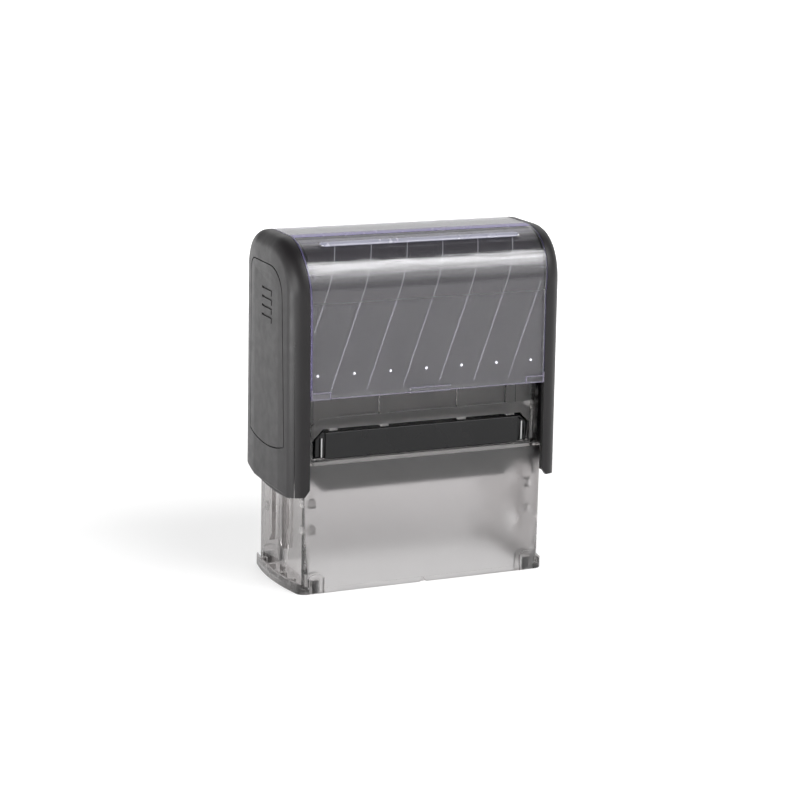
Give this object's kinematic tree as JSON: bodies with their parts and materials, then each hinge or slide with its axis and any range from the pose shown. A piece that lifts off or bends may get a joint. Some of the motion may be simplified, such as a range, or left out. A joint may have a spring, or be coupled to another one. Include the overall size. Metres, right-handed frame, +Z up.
{
  "type": "self inking stamp",
  "caption": "Self inking office stamp with a dark sliding cap, a clear index window, a smoky clear base, a pull-out ink cartridge and a printing plate that flips over when pressed.",
  "frame": {"origin": "on the table under the middle of the stamp", "axes": "+X to the right seen from the front, +Y to the back, +Z up; the index window faces -Y"},
  "size_m": [0.0616, 0.0283, 0.0728],
  "materials": {
    "smoky_clear": "smoky clear plastic, satin on the wide front and back walls, glossy at the corners",
    "foot_rubber": "black rubber pegs",
    "spring_steel": "bright drawn wire and turned pins",
    "gloss_black": "glossy black plastic",
    "ink_felt": "felt soaked in black ink",
    "cap_black": "fine satin dark grey plastic",
    "window_clear": "clear polished plastic with faintly violet edges",
    "card_print": "dark printed card with a plain pattern of pale lines and dots",
    "inner_black": "plain black moulded plastic",
    "cushion_foam": "grey closed-cell foam",
    "die_rubber": "laser-cut dark grey rubber"
  },
  "bodies": {
    "base": {"base_frame": "smoky_clear", "foot_pad_front_left": "foot_rubber", "foot_pad_back_left": "foot_rubber", "foot_pad_front_right": "foot_rubber", "foot_pad_back_right": "foot_rubber", "return_spring": "spring_steel"},
    "cap": {"cap_housing": "cap_black", "side_panel_left": "cap_black", "side_panel_right": "cap_black", "index_card": "card_print", "yoke": "inner_black", "axle_pin_left": "spring_steel", "axle_pin_right": "spring_steel"},
    "window": {"index_window": "window_clear"},
    "lock": {"lock_button": "cap_black"},
    "carrier": {"die_carrier": "inner_black", "die_cushion": "cushion_foam", "text_plate": "die_rubber"},
    "cartridge": {"cartridge_tray": "gloss_black", "ink_pad": "ink_felt"}
  },
  "joints": [
    {"name": "press_slide", "type": "slide", "parent": "base", "child": "cap", "axis": [0, 0, -1], "range_m": [0, 0.018], "stiffness_N_per_m": 600, "springref_m": -0.0065, "deforming": ["return_spring"]},
    {"name": "die_flip", "type": "hinge", "parent": "cap", "child": "carrier", "pos_m": [0, 0, 0.0227], "axis": [1, 0, 0], "range_deg": [0, 180]},
    {"name": "cartridge_slide", "type": "slide", "parent": "base", "child": "cartridge", "axis": [0, -1, 0], "range_m": [0, 0.03]},
    {"name": "window_hinge", "type": "hinge", "parent": "cap", "child": "window", "pos_m": [0, 0.008, 0.0725], "axis": [-1, 0, 0], "range_deg": [0, 75]},
    {"name": "lock_push", "type": "slide", "parent": "cap", "child": "lock", "axis": [0, -1, 0], "range_m": [0, 0.0012], "stiffness_N_per_m": 800, "springref_m": -0.001}
  ],
  "couplings": [
    {"joint": "die_flip", "follows": "press_slide", "rad_per_m": 174.53}
  ]
}
